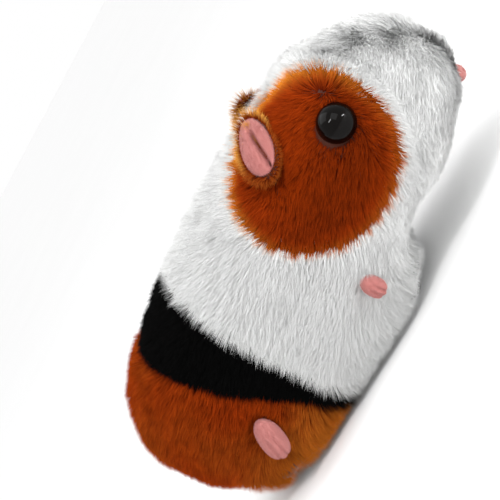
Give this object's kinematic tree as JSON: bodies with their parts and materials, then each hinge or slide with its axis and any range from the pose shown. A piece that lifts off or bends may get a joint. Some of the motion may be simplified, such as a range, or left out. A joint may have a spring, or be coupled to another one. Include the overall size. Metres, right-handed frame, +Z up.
{
  "type": "interactive plush pet",
  "caption": "Plush guinea pig with a furry skin over wadding and a belly chassis that holds cells, a geared motor drive, rollers, a speaker, a power switch and a touch plunger.",
  "frame": {"origin": "on the floor under the middle of the body, midway between snout and rump", "axes": "+Z up, the animal faces -Y, its right side is -X"},
  "size_m": [0.096, 0.21, 0.0954],
  "materials": {
    "white_plush": "matte",
    "brown_plush": "matte",
    "black_plush": "matte",
    "pink_plush": "matte",
    "binding_tape": "matte",
    "fibre_filling": "matte",
    "eye_plastic": "gloss",
    "white_plastic": "satin",
    "shell_plastic": "satin",
    "gear_plastic": "satin",
    "gear_plate_plastic": "satin",
    "wheel_plastic": "satin",
    "tyre_rubber": "matte",
    "black_plastic": "satin",
    "red_plastic": "satin",
    "plated_steel": "satin",
    "spring_steel": "polished",
    "can_steel": "satin",
    "brass": "polished",
    "cell_jacket": "gloss",
    "board_laminate": "satin",
    "cone_paper": "matte",
    "wire_jacket": "satin"
  },
  "bodies": {
    "body": {"white_fur": "white_plush", "eye_patch_right": "brown_plush", "eye_patch_left": "brown_plush", "rump_fur": "brown_plush", "ear_right": "brown_plush", "ear_left": "brown_plush", "saddle_band": "black_plush", "ear_lining_right": "pink_plush", "ear_lining_left": "pink_plush", "front_paw_right": "pink_plush", "front_paw_left": "pink_plush", "hind_foot_right": "pink_plush", "hind_foot_left": "pink_plush", "nose": "pink_plush", "hem_binding": "binding_tape", "head_wadding": "fibre_filling", "body_wadding": "fibre_filling", "eye_right": "eye_plastic", "eye_left": "eye_plastic", "eye_washers": "white_plastic", "upper_shell": "white_plastic", "lower_shell": "shell_plastic", "inner_gear_plate": "gear_plate_plastic", "outer_gear_plate": "gear_plate_plastic", "power_switch": "black_plastic", "tact_switch": "black_plastic", "board_parts": "black_plastic", "shell_screws": "plated_steel", "board_screws": "plated_steel", "gear_pins": "plated_steel", "contact_springs": "spring_steel", "contact_plates": "spring_steel", "touch_spring": "spring_steel", "motor": "can_steel", "speaker": "can_steel", "battery_right": "cell_jacket", "battery_left": "cell_jacket", "circuit_board": "board_laminate", "speaker_cone": "cone_paper", "motor_wires": "wire_jacket", "speaker_wires": "wire_jacket", "battery_wires": "wire_jacket"},
    "drive": {"drive_axle": "plated_steel", "drive_gear": "gear_plastic", "wheel_right": "wheel_plastic", "wheel_left": "wheel_plastic", "tyre_right": "tyre_rubber", "tyre_left": "tyre_rubber"},
    "second_gear": {"second_gear": "gear_plastic"},
    "first_gear": {"first_gear": "gear_plastic"},
    "motor_rotor": {"motor_shaft": "plated_steel", "motor_pinion": "brass"},
    "right_roller": {"roller_right": "wheel_plastic", "stub_axle_right": "plated_steel"},
    "left_roller": {"roller_left": "wheel_plastic", "stub_axle_left": "plated_steel"},
    "door": {"battery_door": "shell_plastic", "door_screw": "plated_steel"},
    "slider": {"switch_slider": "red_plastic"},
    "touch": {"touch_button": "white_plastic"}
  },
  "joints": [
    {"name": "drive_spin", "type": "hinge", "parent": "body", "child": "drive", "pos_m": [0, 0.057, 0.0148], "axis": [1, 0, 0], "continuous": true},
    {"name": "second_gear_spin", "type": "hinge", "parent": "body", "child": "second_gear", "pos_m": [0, 0.05254, 0.02436], "axis": [1, 0, 0], "continuous": true},
    {"name": "first_gear_spin", "type": "hinge", "parent": "body", "child": "first_gear", "pos_m": [0, 0.04298, 0.02882], "axis": [1, 0, 0], "continuous": true},
    {"name": "motor_spin", "type": "hinge", "parent": "body", "child": "motor_rotor", "pos_m": [0, 0.03375, 0.03657], "axis": [1, 0, 0], "continuous": true},
    {"name": "right_roller_spin", "type": "hinge", "parent": "body", "child": "right_roller", "pos_m": [0, -0.0125, 0.0065], "axis": [1, 0, 0], "continuous": true},
    {"name": "left_roller_spin", "type": "hinge", "parent": "body", "child": "left_roller", "pos_m": [0, -0.0125, 0.0065], "axis": [1, 0, 0], "continuous": true},
    {"name": "battery_door_hinge", "type": "hinge", "parent": "body", "child": "door", "pos_m": [0, -0.0178, 0.0063], "axis": [-1, 0, 0], "range_deg": [0, 75]},
    {"name": "power_switch_slide", "type": "slide", "parent": "body", "child": "slider", "axis": [1, 0, 0], "range_m": [0, 0.004]},
    {"name": "touch_press", "type": "slide", "parent": "body", "child": "touch", "axis": [0, 0, -1], "range_m": [0, 0.002], "stiffness_N_per_m": 250, "springref_m": -0.001, "deforming": ["touch_spring"]}
  ],
  "couplings": [
    {"joint": "second_gear_spin", "follows": "drive_spin", "ratio": -2.5},
    {"joint": "first_gear_spin", "follows": "drive_spin", "ratio": 6.25},
    {"joint": "motor_spin", "follows": "drive_spin", "ratio": -18.75}
  ]
}
